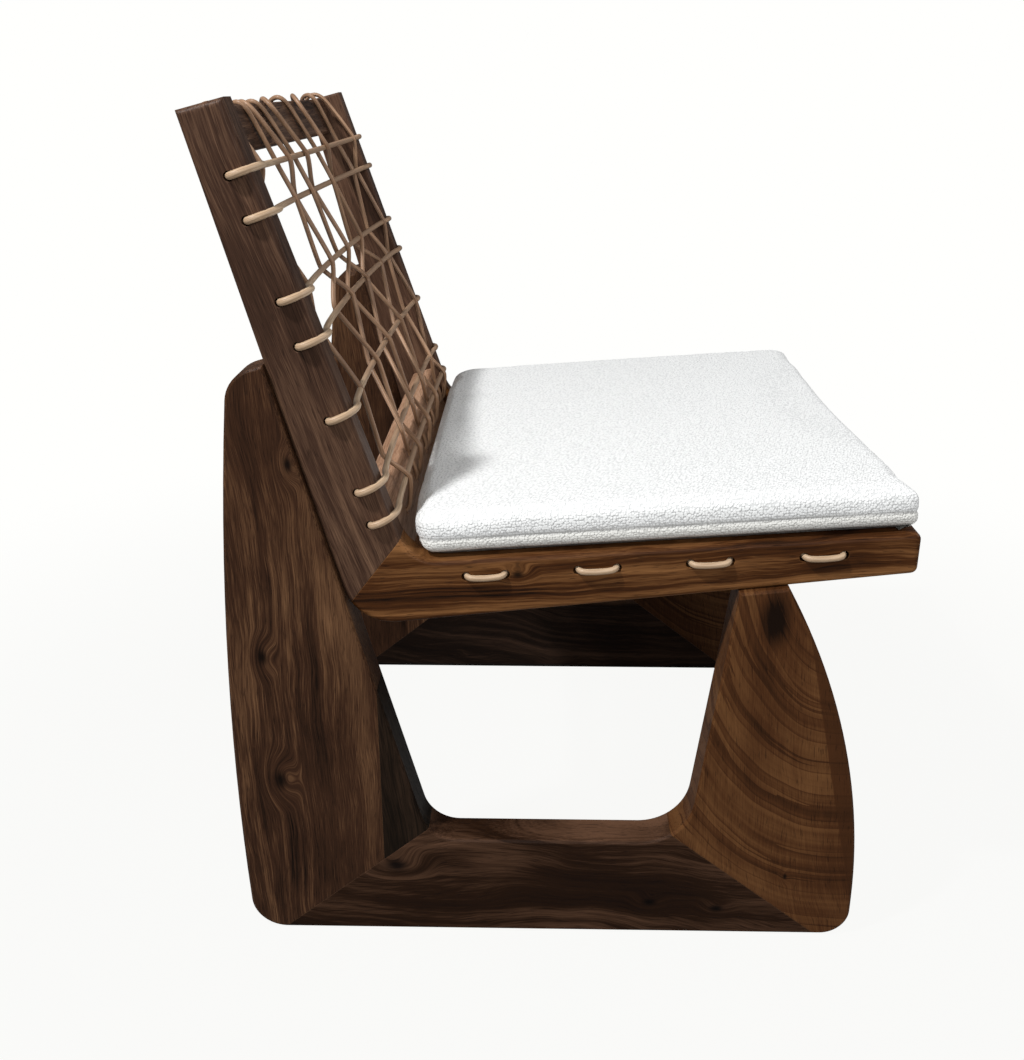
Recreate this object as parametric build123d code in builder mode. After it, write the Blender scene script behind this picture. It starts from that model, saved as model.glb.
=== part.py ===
from build123d import *
import math
import os

# Low lounge chair. Two U-shaped base frames of thick mitred boards carry an L-shaped seat and back
# frame. The back is laced with round leather cord in a plain weave, the seat is laced through its
# side rails, and a loose pad lies on the seat.
# Frame: +Z up, the sitter faces -Y, +X is the sitter's left. The origin is on the floor, under the
# middle of the whole chair. Sizes are in millimetres. Side profiles are (y, z) points seen along X.

os.makedirs("parts", exist_ok=True)

# ---- driving dimensions -------------------------------------------------------------------------
# Seat and back frame
seat_frame_w = 560.0      # over the outer faces of its side members
member_t = 28.0           # thickness of posts and seat rails, across the chair
corner_y = 132.0          # inner corner, where post front meets rail top
corner_z = 373.5
back_lean = 18.74         # post front, from upright
post_len = 389.0          # post front, from the inner corner to the top
post_top_w = 38.0         # post depth at the top
post_top_slope = 14.4     # fall of the post's end grain to the rear
heel_back = 47.0          # outer corner, behind the inner corner
heel_drop = 60.0          # outer corner, below the inner corner
seat_rise = 4.03          # rise of the rail top to the front
rail_run = 427.0          # inner corner to the nose, level
rail_nose_h = 36.0        # rail height at its nose
inner_round = 37.0        # sweep between post and rail
heel_round = 43.0
nose_round = 6.0
mitre_up = 21.5           # seat mitre, moved up the post from the two corners
face_round = 5.0          # outer long edges of posts and rails
inner_ease = 1.5          # inner long edges of posts and rails

# Base frames
base_t = 42.0             # board thickness
base_out = 6.0            # base stands proud of the seat frame at each side
foot_h = 100.5            # top of the bottom rail
leg_reach = 238.0         # rear leg, up the post from the heel
leg_top_w = 31.0          # rear leg, width of its sawn top
leg_back_y = 294.0        # rearmost line of the rear leg
leg_back_z = 178.0        # and its height
leg_foot_y = 289.0        # rear leg at the floor
toe_y = -272.0            # front of the front leg at the floor
toe_h = 40.0              # height where the front curve starts
knee_front_y = -188.5     # front leg top, front corner
knee_back_y = -147.0      # front leg top, rear corner
knee_foot_y = -115.2      # front leg, rear face carried down to the rail top
rear_sweep = 35.0         # inner sweep at the rear leg
front_sweep = 48.0        # inner sweep at the front leg
leg_top_round = 30.0
leg_foot_round = 32.0
toe_round = 26.0
rear_mitre_in = (122.0, 112.0)
rear_mitre_out = (260.5, 0.0)
front_mitre_in = (-102.0, 108.0)
front_mitre_out = (-241.0, 0.0)
stave_y = 163.0           # glue line of the rear leg's front stave
base_outer_ease = 2.0
base_inner_ease = 7.0

# Cross rails
crest_h = 38.0            # crest rail, height along the post
crest_t = 15.0
crest_set = 20.0          # behind the post fronts
cross_round = 3.0         # long edges of all cross rails
low_rail_up = 50.0        # lower back rail's top, up the post from the inner corner
low_rail_h = 66.0
low_rail_t = 26.0
low_rail_set = 9.0        # behind the post fronts
front_rail_d = 40.0
front_rail_t = 25.0
front_rail_set = 8.0      # behind the nose
front_rail_down = 3.0     # below the rail tops

# Loose tenons and dowels
tenon_t = 12.0
base_tenon_w = 56.0
base_tenon_l = 50.0
corner_tenon_w = 28.0
corner_tenon_l = 30.0
cross_tenon_t = 9.0
cross_tenon_l = 24.0
cross_tenon_w = 14.0
crest_tenon_down = 27.0   # middle of the crest rail's tenons, below the rail's top
low_tenon_down = 11.0     # and of the lower back rail's
glue_gap = 0.15           # round a tenon or dowel
dowel_d = 10.0
dowel_l = 40.0
back_dowels = (95.0, 175.0)      # up the post from the heel
knee_dowels = (-180.0, -158.0)   # y along the front leg's top

# Lacing
row_d = 5.4               # cord of the rows and of the seat
upright_d = 4.6           # cord of the uprights
cord_gap = 0.3            # clear space round a cord
hole_gap = 1.3            # hole radius over cord radius, room for the cord's bend at the rim
cord_bend = 2.0           # inside radius of such a bend
cord_sides = 6            # the cords are drawn six-sided
row_hole_set = 18.0       # row holes, behind the post fronts
row_hole_depth = 15.0
crest_hole_down = 15.0    # holes in the rear of the crest rail
crest_hole_depth = 10.0
low_hole_down = 39.0      # holes in the lower back rail, below its top
end_gap = 2.0             # left free at the bottom of a blind hole
row_places = (13.6, 22.4, 39.1, 48.6, 65.0, 81.5, 89.2)   # down the posts, in hundredths of their length
row_sag = (14.0, 19.5, 18.5, 16.0, 11.0, 7.0, 3.0)        # pulled back between the posts
sag_run = 28.0            # width beside a post over which a row sinks back
weave_bend = 8.0          # largest radius in the weave
weave_cut = 1.0           # what such a bend cuts off an upright's swing
crest_bend = 4.0          # radius where an upright goes over the crest rail
bend_share = 0.4          # most that a bend takes of a run

# Uprights: where each goes across the back, in hundredths of the clear half width. First the hole
# behind the crest rail, then the crest rail's front edge, the rows from the top, and the lower rail.
upright_places = (
    (-89, -94, -91, -88, -81, -77, -76, -71, -69, -68),
    (-51, -58, -46, -47, -33, -21, -28, -44, -33, -32),
    (-40, -54, -43, -27, -30, -40, -31, -23, -30, -26),
    (-30, -37, -14, -15, 6, 20, 11, -5, 7, 9),
    (4, -24, -11, 9, 9, -6, 8, 19, 10, 15),
    (16, 9, 33, 32, 43, 65, 54, 38, 47, 47),
    (68, 29, 36, 56, 46, 37, 51, 62, 50, 52),
    (84, 73, 89, 89, 90, 89, 90, 83, 88, 89),
    (94, 92, 94, 96, 95, 96, 95, 95, 93, 94),
)

# Seat lacing
stitch_pitch = 94.2
stitch_len = 33.0
stitch_count = 4
stitch_first_y = 67.0     # middle of the rearmost stitch
stitch_down = 15.0        # below the rail top

# Pad
pad_side = 14.0           # inside the seat frame's outer faces
pad_front = 4.0           # behind the rails' nose
pad_back = 17.0           # in front of the inner corner
pad_t = 38.0
pad_corner = 14.0
pad_edge = 9.0
seat_gap = 0.3            # between the pad and the rails

# ---- worked out ---------------------------------------------------------------------------------
lean = math.radians(back_lean)
top_fall = math.radians(post_top_slope)
rise_grade = math.tan(math.radians(seat_rise))
half_frame = seat_frame_w / 2
inner_half = half_frame - member_t
base_half = half_frame + base_out
member_x = half_frame - member_t / 2
low_rail_down = post_len - low_rail_up


def along(start, end, distance):
    """Point at a distance from start towards end."""
    share = distance / math.dist(start, end)
    return (start[0] + (end[0] - start[0]) * share, start[1] + (end[1] - start[1]) * share)


inner_corner = (corner_y, corner_z)
post_tip = (corner_y + post_len * math.sin(lean), corner_z + post_len * math.cos(lean))
post_back_tip = (post_tip[0] + post_top_w * math.cos(top_fall), post_tip[1] - post_top_w * math.sin(top_fall))
heel = (corner_y + heel_back, corner_z - heel_drop)
nose_y = corner_y - rail_run
nose_top = (nose_y, corner_z + rail_run * rise_grade)
nose_foot = (nose_y, nose_top[1] - rail_nose_h)
post_grade = (post_back_tip[0] - heel[0]) / (post_back_tip[1] - heel[1])
rail_grade = (nose_foot[1] - heel[1]) / (heel[0] - nose_foot[0])


def rail_top_z(y):
    """Height of the seat rails' top at y."""
    return corner_z + (corner_y - y) * rise_grade


def rail_foot_z(y):
    """Height of the seat rails' underside at y."""
    return heel[1] + (heel[0] - y) * rail_grade


# The back plane: X across, Y up the posts from their top, Z out of the post fronts.
back_plane = Plane(
    origin=(0, post_tip[0], post_tip[1]),
    x_dir=(1, 0, 0),
    z_dir=(0, -math.cos(lean), math.sin(lean)),
)
# The seat plane: X across, Y to the rear from the inner corner, Z up out of the rail tops.
seat_plane = Plane(origin=(0, corner_y, corner_z), x_dir=(1, 0, 0), z_dir=(0, rise_grade, 1))


def back_point(x, down, out):
    """Point in the back plane's terms: across, down from the post top, out of the post fronts."""
    return back_plane.from_local_coords(Vector(x, -down, out))


def cut_plane(start, end):
    """Plane square to the side profile through two of its points, facing to the left of the way."""
    step = (end[0] - start[0], end[1] - start[1])
    return Plane(origin=(0, start[0], start[1]), x_dir=(0, step[0], step[1]), z_dir=(0, -step[1], step[0]))


# Each mitre plane faces the upright member.
rear_mitre = cut_plane(rear_mitre_in, rear_mitre_out)
front_mitre = cut_plane(front_mitre_out, front_mitre_in)
seat_mitre_in = along(inner_corner, post_tip, mitre_up)
seat_mitre_out = along(heel, post_back_tip, mitre_up)
seat_mitre = cut_plane(seat_mitre_in, seat_mitre_out)
stave_plane = Plane.XZ.offset(-stave_y)


def save(part, name):
    """Label a finished piece and write it."""
    part.label = name
    export_step(part, f"parts/{name}.step")


# ---- blanks -------------------------------------------------------------------------------------
def edges_at(edges, x):
    """The edges that lie wholly in the side plane at x."""
    return [e for e in edges if abs(e.bounding_box().min.X - x) < 1e-3 and abs(e.bounding_box().max.X - x) < 1e-3]


def seat_side(side):
    """One side of the seat and back frame before it is mitred apart. side is -1 or 1."""
    outer = side * half_frame
    inner = side * inner_half
    with BuildPart() as blank:
        with BuildSketch(Plane.YZ.offset(min(outer, inner))):
            with BuildLine():
                Polyline(inner_corner, post_tip, post_back_tip, heel, nose_foot, nose_top, close=True)
            make_face()
            fillet(vertices().sort_by_distance(inner_corner)[0], inner_round)
            fillet(vertices().sort_by_distance(heel)[0], heel_round)
            fillet(vertices().sort_by_distance(nose_top)[0], nose_round)
            fillet(vertices().sort_by_distance(nose_foot)[0], nose_round)
        extrude(amount=member_t)
        fillet(edges_at(edges(), outer), face_round)
        chamfer(edges_at(edges(), inner), inner_ease)
    return blank.part


leg_top_front = along(heel, post_back_tip, leg_reach)
square_turn = math.atan(post_grade)
leg_top_back = (leg_top_front[0] + leg_top_w * math.cos(square_turn),
                leg_top_front[1] - leg_top_w * math.sin(square_turn))


def base_side(side):
    """One base frame before it is mitred apart."""
    outer = side * base_half
    inner = side * (base_half - base_t)
    rear_inner = (heel[0] + (foot_h - heel[1]) * post_grade, foot_h)
    front_inner = (knee_foot_y, foot_h)
    knee_back = (knee_back_y, rail_foot_z(knee_back_y))
    knee_front = (knee_front_y, rail_foot_z(knee_front_y))
    with BuildPart() as blank:
        with BuildSketch(Plane.YZ.offset(min(outer, inner))):
            with BuildLine():
                Polyline(leg_top_back, leg_top_front, rear_inner, front_inner, knee_back, knee_front)
                TangentArc((toe_y, toe_h), knee_front, tangent=(0, 1))
                Polyline((toe_y, toe_h), (toe_y, 0), (leg_foot_y, 0))
                ThreePointArc((leg_foot_y, 0), (leg_back_y, leg_back_z), leg_top_back)
            make_face()
            fillet(vertices().sort_by_distance(rear_inner)[0], rear_sweep)
            fillet(vertices().sort_by_distance(front_inner)[0], front_sweep)
            fillet(vertices().sort_by_distance(leg_top_back)[0], leg_top_round)
            fillet(vertices().sort_by_distance((leg_foot_y, 0))[0], leg_foot_round)
            fillet(vertices().sort_by_distance((toe_y, 0))[0], toe_round)
        extrude(amount=base_t)
        chamfer(edges_at(edges(), outer), base_outer_ease)
        chamfer(edges_at(edges(), inner), base_inner_ease)
    return blank.part


# ---- loose tenons and dowels --------------------------------------------------------------------
# grow is 0 for the piece itself and glue_gap for its mortise or hole.
def mitre_tenon(start, end, x, width, length, grow):
    """A loose tenon across a mitre: width along the mitre, length through it."""
    middle = ((start[0] + end[0]) / 2, (start[1] + end[1]) / 2)
    flat = Plane(origin=(x, middle[0], middle[1]), x_dir=(0, end[0] - start[0], end[1] - start[1]), z_dir=(1, 0, 0))
    with BuildPart() as block:
        with BuildSketch(flat.offset(-tenon_t / 2 - grow)):
            Rectangle(width + 2 * grow, length + 2 * grow)
        extrude(amount=tenon_t + 2 * grow)
    return block.part


def base_tenons(side, grow):
    """The two tenons of one base frame."""
    x = side * (base_half - base_t / 2)
    return [mitre_tenon(rear_mitre_in, rear_mitre_out, x, base_tenon_w, base_tenon_l, grow),
            mitre_tenon(front_mitre_in, front_mitre_out, x, base_tenon_w, base_tenon_l, grow)]


def corner_tenon(side, grow):
    """The tenon of one seat mitre."""
    return mitre_tenon(seat_mitre_in, seat_mitre_out, side * member_x, corner_tenon_w, corner_tenon_l, grow)


def dowel(plane, grow):
    """A dowel half on each side of a plane."""
    with BuildPart() as pin:
        with BuildSketch(plane.offset(-dowel_l / 2 - grow)):
            Circle(dowel_d / 2 + grow)
        extrude(amount=dowel_l + 2 * grow)
    return pin.part


def frame_dowels(side, grow):
    """Dowels that fix the seat frame to a base frame: two behind the post, two on the front leg."""
    x = side * member_x
    pins = []
    for reach in back_dowels:
        at = along(heel, post_back_tip, reach)
        pins.append(dowel(Plane(origin=(x, at[0], at[1]), x_dir=(1, 0, 0), z_dir=(0, -1, post_grade)), grow))
    for y in knee_dowels:
        pins.append(dowel(Plane(origin=(x, y, rail_foot_z(y)), x_dir=(1, 0, 0), z_dir=(0, rail_grade, 1)), grow))
    return pins


def cross_tenon(at, broad_way, grow):
    """A loose tenon along X, half in a cross rail and half in a side member."""
    face = Plane(origin=at, x_dir=broad_way, z_dir=(1, 0, 0))
    with BuildPart() as block:
        with BuildSketch(face.offset(-cross_tenon_l / 2 - grow)):
            Rectangle(cross_tenon_w + 2 * grow, cross_tenon_t + 2 * grow)
        extrude(amount=cross_tenon_l + 2 * grow)
    return block.part


front_rail_y = nose_y + front_rail_set + front_rail_d / 2
front_rail_z = rail_top_z(front_rail_y) - front_rail_down - front_rail_t / 2


def cross_tenons(side, grow):
    """The crest rail's, the lower back rail's and the front rail's tenons at one side."""
    x = side * inner_half
    crest_at = back_point(x, crest_tenon_down, -crest_set - crest_t / 2)
    low_at = back_point(x, low_rail_down + low_tenon_down, -low_rail_set - low_rail_t / 2)
    front_at = Vector(x, front_rail_y, front_rail_z)
    return [cross_tenon(crest_at, back_plane.y_dir, grow),
            cross_tenon(low_at, back_plane.y_dir, grow),
            cross_tenon(front_at, seat_plane.y_dir, grow)]


# ---- lacing places ------------------------------------------------------------------------------
row_r = row_d / 2 + cord_gap
upright_r = upright_d / 2 + cord_gap
row_hole_r = row_d / 2 + hole_gap
upright_hole_r = upright_d / 2 + hole_gap

stitch_middles = [stitch_first_y - n * stitch_pitch for n in range(stitch_count)]
stitches = [(middle + stitch_len / 2, middle - stitch_len / 2) for middle in stitch_middles]
row_down = [place * post_len / 100 for place in row_places]
upright_xs = [[place * inner_half / 100 for place in places] for places in upright_places]
low_hole_at = low_rail_down + low_hole_down


def outer_face(side, y, z):
    """Plane on the seat frame's outer side, facing out of the chair."""
    return Plane(origin=(side * half_frame, y, z), x_dir=(0, 1, 0), z_dir=(side, 0, 0))


# ---- base frames --------------------------------------------------------------------------------
hands = ((-1, "right"), (1, "left"))

for side, hand in hands:
    board = base_side(side)
    mortises = base_tenons(side, glue_gap)
    pin_holes = frame_dowels(side, glue_gap)

    with BuildPart() as rear_leg:
        add(board)
        split(bisect_by=stave_plane, keep=Keep.BOTTOM)
        split(bisect_by=rear_mitre, keep=Keep.TOP)
        add(mortises, mode=Mode.SUBTRACT)
        add(pin_holes, mode=Mode.SUBTRACT)
    save(rear_leg.part, f"{hand}_rear_leg")

    with BuildPart() as stave:
        add(board)
        split(bisect_by=Plane.XZ, keep=Keep.BOTTOM)
        split(bisect_by=stave_plane, keep=Keep.TOP)
        split(bisect_by=rear_mitre, keep=Keep.TOP)
    save(stave.part, f"{hand}_rear_leg_stave")

    with BuildPart() as bottom_rail:
        add(board)
        split(bisect_by=rear_mitre, keep=Keep.BOTTOM)
        split(bisect_by=front_mitre, keep=Keep.BOTTOM)
        add(mortises, mode=Mode.SUBTRACT)
    save(bottom_rail.part, f"{hand}_bottom_rail")

    with BuildPart() as front_leg:
        add(board)
        split(bisect_by=Plane.XZ, keep=Keep.TOP)
        split(bisect_by=front_mitre, keep=Keep.TOP)
        add(mortises, mode=Mode.SUBTRACT)
        add(pin_holes, mode=Mode.SUBTRACT)
    save(front_leg.part, f"{hand}_front_leg")

    with BuildPart() as tenons:
        add(base_tenons(side, 0))
    save(tenons.part, f"{hand}_base_tenons")

# ---- seat and back frame ------------------------------------------------------------------------
for side, hand in hands:
    member = seat_side(side)
    pin_holes = frame_dowels(side, glue_gap)
    corner_mortise = corner_tenon(side, glue_gap)
    cross_mortises = cross_tenons(side, glue_gap)

    with BuildPart() as back_post:
        add(member)
        split(bisect_by=seat_mitre, keep=Keep.TOP)
        add(corner_mortise, mode=Mode.SUBTRACT)
        add(pin_holes, mode=Mode.SUBTRACT)
        add(cross_mortises, mode=Mode.SUBTRACT)
        for down in row_down:
            at = back_point(0, down, -row_hole_set)
            with Locations(outer_face(side, at.Y, at.Z)):
                Hole(row_hole_r, row_hole_depth)
    save(back_post.part, f"{hand}_back_post")

    with BuildPart() as seat_rail:
        add(member)
        split(bisect_by=seat_mitre, keep=Keep.BOTTOM)
        add(corner_mortise, mode=Mode.SUBTRACT)
        add(pin_holes, mode=Mode.SUBTRACT)
        add(cross_mortises, mode=Mode.SUBTRACT)
        for stitch in stitches:
            for y in stitch:
                with Locations(outer_face(side, y, rail_top_z(y) - stitch_down)):
                    Hole(row_hole_r, member_t)
    save(seat_rail.part, f"{hand}_seat_rail")

    with BuildPart() as corner_key:
        add(corner_tenon(side, 0))
    save(corner_key.part, f"{hand}_corner_tenon")

with BuildPart() as dowels:
    for side, hand in hands:
        add(frame_dowels(side, 0))
save(dowels.part, "frame_dowels")

with BuildPart() as rail_tenons:
    for side, hand in hands:
        add(cross_tenons(side, 0))
save(rail_tenons.part, "cross_rail_tenons")

# ---- cross rails --------------------------------------------------------------------------------
cross_mortises = cross_tenons(-1, glue_gap) + cross_tenons(1, glue_gap)

with BuildPart() as crest_rail:
    with BuildSketch(back_plane.offset(-crest_set)):
        with Locations((0, -crest_h / 2)):
            Rectangle(2 * inner_half, crest_h)
    extrude(amount=-crest_t)
    fillet(edges().filter_by(Axis.X), cross_round)
    add(cross_mortises, mode=Mode.SUBTRACT)
    for xs in upright_xs:
        at = back_point(xs[0], crest_hole_down, -crest_set - crest_t)
        with Locations(Plane(origin=at, x_dir=(1, 0, 0), z_dir=-back_plane.z_dir)):
            Hole(upright_hole_r, crest_hole_depth)
save(crest_rail.part, "crest_rail")

with BuildPart() as lower_back_rail:
    with BuildSketch(back_plane.offset(-low_rail_set)):
        with Locations((0, -low_rail_down - low_rail_h / 2)):
            Rectangle(2 * inner_half, low_rail_h)
    extrude(amount=-low_rail_t)
    fillet(edges().filter_by(Axis.X), cross_round)
    add(cross_mortises, mode=Mode.SUBTRACT)
    for xs in upright_xs:
        with Locations(Plane(origin=back_point(xs[-1], low_hole_at, -low_rail_set), z_dir=back_plane.z_dir)):
            Hole(upright_hole_r, row_hole_depth)
save(lower_back_rail.part, "lower_back_rail")

with BuildPart() as front_rail:
    with BuildSketch(Plane(origin=(0, front_rail_y, front_rail_z), x_dir=seat_plane.y_dir, z_dir=(1, 0, 0))):
        RectangleRounded(front_rail_d, front_rail_t, cross_round)
    extrude(amount=inner_half, both=True)
    add(cross_mortises, mode=Mode.SUBTRACT)
save(front_rail.part, "front_seat_rail")


# ---- cords --------------------------------------------------------------------------------------
def cord(points, radii, diameter):
    """A cord along straight runs joined by tangent arcs, one radius for each inner point."""
    with BuildPart() as tube:
        with BuildLine() as route:
            FilletPolyline(*points, radius=radii)
        line = route.wires()[0]
        with BuildSketch(Plane(origin=line @ 0, z_dir=line % 0)):
            RegularPolygon(diameter / 2, cord_sides)
        sweep(path=line)
    return tube.part


def weave_radii(points, fixed):
    """One radius for each inner point: a fixed one, or as large as the weave and its runs allow."""
    radii = []
    for n in range(1, len(points) - 1):
        before = points[n] - points[n - 1]
        after = points[n + 1] - points[n]
        half_turn = math.radians(before.get_angle(after)) / 2
        room = bend_share * min(before.length, after.length) / math.tan(half_turn)
        radii.append(fixed.get(n) or min(weave_bend, room))
    return radii


upright_swing = (row_d + upright_d) / 2 + cord_gap + weave_cut


def weave_out(x, row, upright):
    """How far an upright stands out of the post fronts where it crosses a row, in front or behind."""
    sunk = min(1.0, (inner_half - abs(x)) / sag_run)
    slope = math.hypot(1, row_sag[row] / sag_run) if sunk < 1 else 1
    swing = upright_swing * slope
    if (row + upright) % 2:
        swing = -swing
    return row_r - row_sag[row] * sunk + swing


hole_bend = cord_bend + row_d / 2
fine_hole_bend = cord_bend + upright_d / 2

for row, down in enumerate(row_down):
    # out of one post's side, round its front, back behind it, and the same at the other post
    half = [
        (half_frame - row_hole_depth + end_gap, -row_hole_set),
        (half_frame + row_r, -row_hole_set),
        (half_frame + row_r, row_r),
        (inner_half, row_r),
        (inner_half - sag_run, row_r - row_sag[row]),
    ]
    flat = [(-x, out) for x, out in half] + half[::-1]
    points = [back_point(x, down, out) for x, out in flat]
    last = len(points) - 1
    fixed = {1: hole_bend, 2: face_round + row_r, 3: inner_ease + row_r}
    fixed.update({last - n: radius for n, radius in list(fixed.items())})
    save(cord(points, weave_radii(points, fixed), row_d), f"back_cord_row_{row + 1}")

for upright, xs in enumerate(upright_xs):
    # out of the crest rail's rear, over its top, down the weave and into the lower rail
    hole_x, crest_x, *row_xs, low_x = xs
    crest_front = -crest_set + upright_r
    crest_rear = -crest_set - crest_t - upright_r
    flat = [
        (hole_x, crest_hole_down, -crest_set - crest_t + crest_hole_depth - end_gap),
        (hole_x, crest_hole_down, crest_rear),
        (hole_x, -upright_r, crest_rear),
        (crest_x, -upright_r, crest_front),
    ]
    for row, x in enumerate(row_xs):
        flat.append((x, row_down[row], weave_out(x, row, upright)))
    flat.append((low_x, low_hole_at, -low_rail_set + upright_r))
    flat.append((low_x, low_hole_at, -low_rail_set - row_hole_depth + end_gap))
    points = [back_point(*place) for place in flat]
    fixed = {1: fine_hole_bend, 2: crest_bend, 3: crest_bend, len(points) - 2: fine_hole_bend}
    save(cord(points, weave_radii(points, fixed), upright_d), f"back_cord_upright_{upright + 1}")

for n, (rear_y, front_y) in enumerate(stitches):
    # a closed loop: two runs under the pad and a stitch on each outer face
    reach = half_frame + row_r
    corners = [(-reach, rear_y), (reach, rear_y), (reach, front_y), (-reach, front_y)]
    with BuildPart() as seat_loop:
        with BuildLine() as loop:
            lifted = [(x, y, rail_top_z(y) - stitch_down) for x, y in corners]
            FilletPolyline(*lifted, radius=hole_bend, close=True)
        ring = loop.wires()[0]
        with BuildSketch(Plane(origin=ring @ 0, z_dir=ring % 0)):
            RegularPolygon(row_d / 2, cord_sides)
        sweep(path=ring)
    save(seat_loop.part, f"seat_cord_loop_{n + 1}")

# ---- pad ----------------------------------------------------------------------------------------
pad_w = seat_frame_w - 2 * pad_side
pad_d = rail_run - pad_front - pad_back

with BuildPart() as pad:
    with BuildSketch(seat_plane.offset(seat_gap)):
        with Locations((0, -pad_back - pad_d / 2)):
            RectangleRounded(pad_w, pad_d, pad_corner)
    extrude(amount=pad_t)
    ends = faces().sort_by(Axis(seat_plane.origin, seat_plane.z_dir))
    chamfer(ends[0].edges() + ends[-1].edges(), pad_edge)
save(pad.part, "seat_cushion")
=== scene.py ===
# %% [markdown]
# # A laced lounge chair
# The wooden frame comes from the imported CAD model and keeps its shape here. This notebook gives the
# boards their grain, replaces the plain cords with smooth leather ones, and sews and fills the pad.
# The CAD model has to come first, because every other piece is set against it.

# %% Load the frame
import math

import bpy
import numpy as np
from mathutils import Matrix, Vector


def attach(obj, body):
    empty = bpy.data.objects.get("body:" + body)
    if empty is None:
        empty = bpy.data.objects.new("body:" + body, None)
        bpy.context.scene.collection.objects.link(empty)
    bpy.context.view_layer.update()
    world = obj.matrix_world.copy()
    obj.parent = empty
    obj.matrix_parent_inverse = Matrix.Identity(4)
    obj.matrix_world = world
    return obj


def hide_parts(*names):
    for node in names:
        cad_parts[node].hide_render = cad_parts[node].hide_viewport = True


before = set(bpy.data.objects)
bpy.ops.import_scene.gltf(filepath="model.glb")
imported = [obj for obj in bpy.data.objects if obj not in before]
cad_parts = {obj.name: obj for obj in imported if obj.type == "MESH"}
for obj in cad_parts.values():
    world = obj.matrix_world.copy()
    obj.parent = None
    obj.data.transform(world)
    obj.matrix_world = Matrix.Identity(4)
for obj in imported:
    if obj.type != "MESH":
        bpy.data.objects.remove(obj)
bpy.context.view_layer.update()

# %% [markdown]
# ## The chair's own measures
# Cords and pad are placed by the same few lines that the frame was drawn from: the leaning front of
# the back posts and the rising top of the seat rails. Writing these lines once, as two small
# functions, keeps every later piece on the wood.

# %% Measures of the frame
mm = 0.001
base_half = 286 * mm          # outer faces of the two bases
half_frame = 280 * mm         # outer faces of the posts and seat rails
inner_half = 252 * mm         # their inner faces
corner_y = 132 * mm           # where the post fronts meet the rail tops
corner_z = 373.5 * mm
lean = math.radians(18.74)    # of the back, from upright
rise = math.radians(4.03)     # of the seat, towards the front
post_len = 389 * mm           # from the inner corner to the tips of the posts
across = Vector((1, 0, 0))
down_post = Vector((0, -math.sin(lean), -math.cos(lean)))
out_of_post = Vector((0, -math.cos(lean), math.sin(lean)))
along_seat = Vector((0, math.cos(rise), -math.sin(rise)))
out_of_seat = Vector((0, math.sin(rise), math.cos(rise)))
seat_corner = Vector((0, corner_y, corner_z))
post_tip = seat_corner - down_post * post_len


def back_point(x, down, out):
    """Across the back, down the posts from their tips, and out of their fronts."""
    return post_tip + across * x + down_post * down + out_of_post * out


def seat_point(x, back, up):
    """Across the seat, to the rear from the inner corner, and up from the rails."""
    return seat_corner + across * x + along_seat * back + out_of_seat * up


def rail_top_z(y):
    """Height of the seat rails at y."""
    return corner_z + (corner_y - y) * math.tan(rise)


def short(point):
    """A point with fewer digits, for printing."""
    return tuple(round(float(number), 4) for number in point)


print("post tip", short(post_tip))

# %% [markdown]
# ## Camera
# The chair is seen from its right side and from above the seat, with a normal lens. A camera can be
# aimed with a constraint or by a matrix; a plain direction turned into a rotation is the shortest.

# %% Camera
camera_place = Vector((-1.1821, 0.0262, 0.7498))
camera_direction = Vector((0.9337, 0.0192, -0.3575))
camera_data = bpy.data.cameras.new("camera")
camera_data.sensor_fit = "VERTICAL"
camera_data.sensor_width = 36
camera_data.sensor_height = 36
camera_data.lens = 39.49
camera = bpy.data.objects.new("camera", camera_data)
bpy.context.scene.collection.objects.link(camera)
camera.location = camera_place
camera.rotation_euler = camera_direction.to_track_quat("-Z", "Y").to_euler()
bpy.context.scene.camera = camera
print("camera", short(camera.location))

# %% [markdown]
# ## Writing a finish as sums
# A material is a net of nodes. Placing them by hand is slow to read, so a small class holds what a
# socket carries and lets it be added and multiplied like a number. One method makes every other node.

# %% Fields and finishes
class Field:
    """What a socket carries over a surface."""

    def __init__(self, finish, socket):
        self.finish = finish
        self.socket = socket

    def __add__(self, other):
        return self.finish.maths("ADD", self, other)

    def __sub__(self, other):
        return self.finish.maths("SUBTRACT", self, other)

    def __rsub__(self, other):
        return self.finish.maths("SUBTRACT", other, self)

    def __mul__(self, other):
        return self.finish.maths("MULTIPLY", self, other)

    def __truediv__(self, other):
        return self.finish.maths("DIVIDE", self, other)

    def __pow__(self, other):
        return self.finish.maths("POWER", self, other)

    __radd__ = __add__
    __rmul__ = __mul__


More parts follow.
